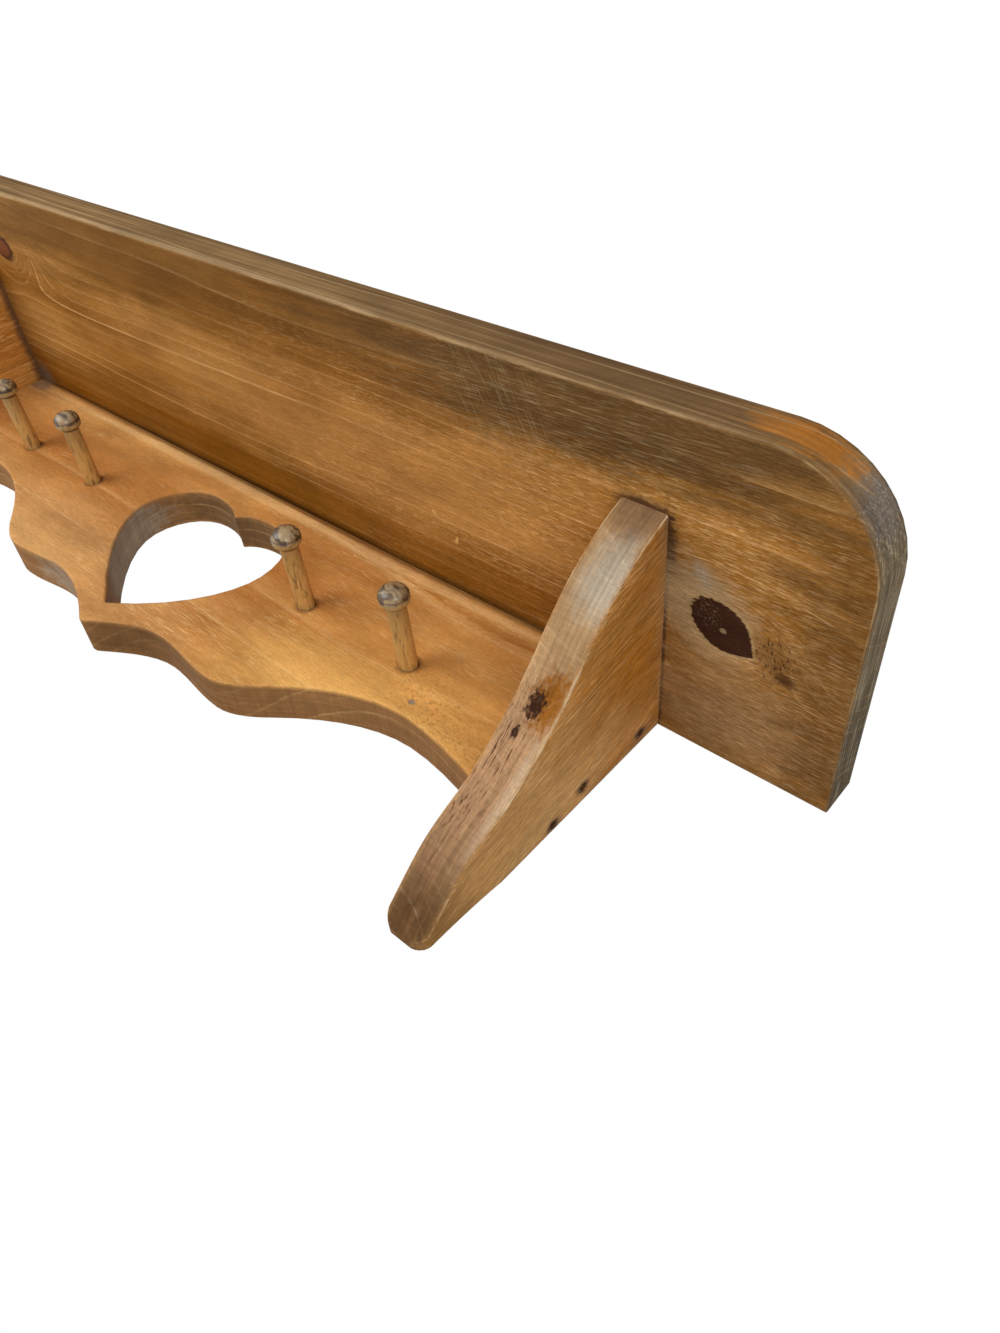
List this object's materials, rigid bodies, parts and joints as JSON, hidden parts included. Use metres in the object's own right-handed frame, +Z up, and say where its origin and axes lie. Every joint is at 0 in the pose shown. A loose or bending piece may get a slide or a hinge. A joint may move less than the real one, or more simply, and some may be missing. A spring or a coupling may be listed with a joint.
{
  "type": "wall shelf",
  "caption": "Pine wall shelf on two scrolled brackets, with a back board that has a heart cut-out, a scalloped lower edge and a row of mushroom pegs.",
  "frame": {"origin": "on the wall plane, in the middle of the shelf board's back edge, half way up its thickness", "axes": "+X along the wall, to the right as seen from the room; +Y into the wall; +Z up"},
  "size_m": [0.62, 0.134, 0.1498],
  "materials": {
    "shelf_pine": "satin brown stain, worn",
    "rail_pine": "satin honey stain",
    "bracket_pine": "satin honey stain, worn arrises",
    "peg_wood": "satin stain, polished heads",
    "nail_iron": "dark, lightly rusted"
  },
  "bodies": {
    "root": {"shelf_board": "shelf_pine", "back_board": "rail_pine", "bracket_left": "bracket_pine", "bracket_right": "bracket_pine", "peg_1": "peg_wood", "peg_2": "peg_wood", "peg_3": "peg_wood", "peg_4": "peg_wood", "side_nail_left_1": "nail_iron", "side_nail_left_2": "nail_iron", "side_nail_left_3": "nail_iron", "side_nail_right_1": "nail_iron", "side_nail_right_2": "nail_iron", "side_nail_right_3": "nail_iron", "shelf_nail_1": "nail_iron", "shelf_nail_2": "nail_iron", "shelf_nail_3": "nail_iron", "shelf_nail_4": "nail_iron", "shelf_nail_5": "nail_iron", "shelf_nail_6": "nail_iron", "shelf_nail_7": "nail_iron", "shelf_nail_8": "nail_iron"}
  },
  "joints": []
}
